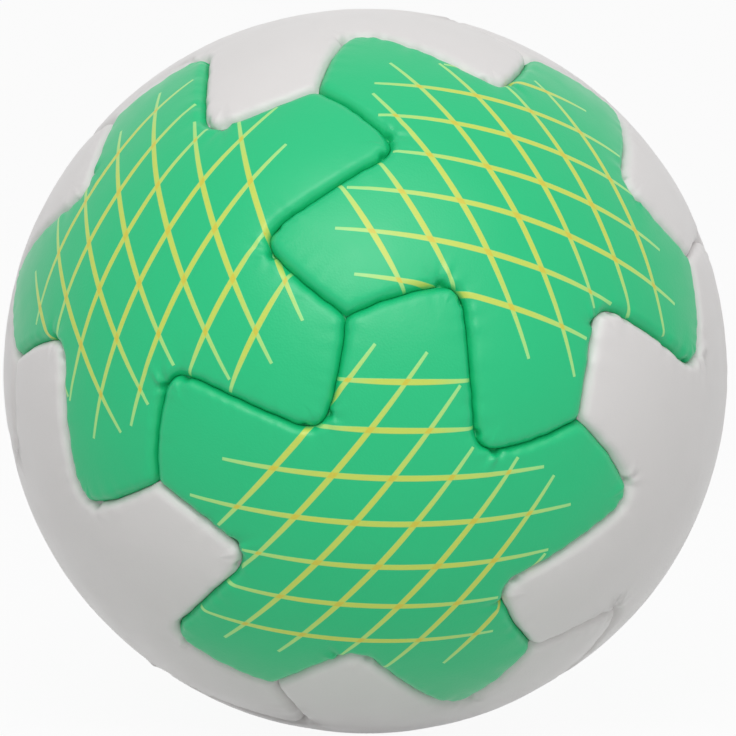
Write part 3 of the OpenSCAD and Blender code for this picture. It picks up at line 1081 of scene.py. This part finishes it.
def rubberMaterial(name):
    finish = rubberFinishes[name]
    material, tree, shader = newMaterial(name + "Rubber")
    place = objectPlace(tree)
    cloud = noiseNode(tree, place, rubber["cloudSize"], detail=5, roughness=0.6)
    speck = remap(tree, noiseNode(tree, place, rubber["speckSize"]), 0.35, 0.65, 0.3, 1.0)
    dust = calculate(tree, "MULTIPLY", remap(tree, cloud, 0.42, 0.7, 0.0, 1.0), speck)
    dust = calculate(tree, "MULTIPLY", dust, finish["dusty"])
    color = mixColor(tree, dust, linear(finish["color"]), linear(finish["dust"]))
    tree.links.new(color, shader.inputs["Base Color"])
    tree.links.new(remap(tree, cloud, 0.3, 0.7, *finish["roughness"]), shader.inputs["Roughness"])
    shader.inputs["Specular IOR Level"].default_value = rubber["specular"]
    grain = noiseNode(tree, place, finish["grain"], detail=3, roughness=0.6)
    tree.links.new(bumpNode(tree, grain, finish["depth"]), shader.inputs["Normal"])
    return material


thread = {
    "color": "#2a302d",
    "wax": "#3c403b",
    "waxSize": 3 * mm,
    "twist": 0.45 * mm,
    "depth": 0.06 * mm,
    "roughness": 0.5,
}


def threadMaterial():
    material, tree, shader = newMaterial("waxedThread")
    place = objectPlace(tree)
    fiber = noiseNode(tree, place, thread["twist"], detail=4, roughness=0.7)
    wax = remap(tree, noiseNode(tree, place, thread["waxSize"]), 0.35, 0.65, 0.0, 0.6)
    color = mixColor(tree, wax, linear(thread["color"]), linear(thread["wax"]))
    tree.links.new(color, shader.inputs["Base Color"])
    shader.inputs["Roughness"].default_value = thread["roughness"]
    tree.links.new(bumpNode(tree, fiber, thread["depth"]), shader.inputs["Normal"])
    return material


def finishNode(node, material):
    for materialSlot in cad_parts[node].material_slots:
        materialSlot.material = material


makeValveBody(rubberMaterial("valve"))
finishNode("valve_core", rubberMaterial("core"))
finishNode("valve_patch", rubberMaterial("patch"))
finishNode("bladder", rubberMaterial("bladder"))
finishNode("seam_threads", threadMaterial())
print("valve made, bladder and threads finished")

# The stage: a pale floor under the ball, a white world and two softboxes in front
stage = {
    "floorSize": 9.0,
    "floorBelow": 0.1 * mm,
    "floorColor": (0.72, 0.72, 0.72, 1),
    "floorRoughness": 0.9,
    "floorSpecular": 0.1,
    "floorWhite": 0.94,
    "white": (1, 1, 1, 1),
    "worldLight": 0.48,
    "softboxes": {
        "overhead": {"power": 6.5, "size": 1.31, "elevation": 45, "turn": 6, "distance": 1.3},
        "front": {"power": 4.3, "size": 0.7, "elevation": 43, "turn": -4, "distance": 1.6},
    },
}


# 1 for the rays that see the white, 0 for those that only bring light
def seenRay(tree):
    rays = tree.nodes.new("ShaderNodeLightPath").outputs
    shine = calculate(tree, "MAXIMUM", rays["Is Glossy Ray"], rays["Is Transmission Ray"])
    return calculate(tree, "MAXIMUM", rays["Is Camera Ray"], shine)


def makeFloor():
    bm = bmesh.new()
    bmesh.ops.create_grid(bm, x_segments=1, y_segments=1, size=stage["floorSize"] / 2)
    bmesh.ops.translate(bm, verts=bm.verts[:], vec=(0, 0, -ball["radius"] - stage["floorBelow"]))
    material, tree, shader = newMaterial("floor")
    shader.inputs["Base Color"].default_value = stage["floorColor"]
    shader.inputs["Roughness"].default_value = stage["floorRoughness"]
    shader.inputs["Specular IOR Level"].default_value = stage["floorSpecular"]
    glow = tree.nodes.new("ShaderNodeEmission")
    glow.inputs["Color"].default_value = stage["white"]
    mix = tree.nodes.new("ShaderNodeMixShader")
    tree.links.new(calculate(tree, "MULTIPLY", seenRay(tree), stage["floorWhite"]), mix.inputs[0])
    output = next(n for n in tree.nodes if n.type == "OUTPUT_MATERIAL")
    tree.links.new(shader.outputs["BSDF"], mix.inputs[1])
    tree.links.new(glow.outputs[0], mix.inputs[2])
    tree.links.new(mix.outputs[0], output.inputs["Surface"])
    finishObject("floor", bm, material)


def makeWorld():
    world = bpy.data.worlds.new("studio")
    bpy.context.scene.world = world
    world.use_nodes = True
    tree = world.node_tree
    tree.nodes.clear()
    background = tree.nodes.new("ShaderNodeBackground")
    background.inputs["Color"].default_value = stage["white"]
    strength = remap(tree, seenRay(tree), 0, 1, stage["worldLight"], 1.0)
    tree.links.new(strength, background.inputs["Strength"])
    output = tree.nodes.new("ShaderNodeOutputWorld")
    tree.links.new(background.outputs[0], output.inputs["Surface"])


# Each softbox looks at the ball from its elevation, turned from the front by its turn
def makeSoftbox(name, box):
    lamp = bpy.data.lights.new(name, "AREA")
    lamp.shape = "SQUARE"
    lamp.size = box["size"]
    lamp.energy = box["power"]
    softbox = bpy.data.objects.new(name, lamp)
    bpy.context.collection.objects.link(softbox)
    lift, turn = math.radians(box["elevation"]), math.radians(box["turn"])
    reach, height = box["distance"] * math.cos(lift), box["distance"] * math.sin(lift)
    softbox.location = (reach * math.sin(turn), -reach * math.cos(turn), height)
    softbox.rotation_euler = (math.pi / 2 - lift, 0, turn)


makeFloor()
makeWorld()
for name, box in stage["softboxes"].items():
    makeSoftbox(name, box)
print("stage made")
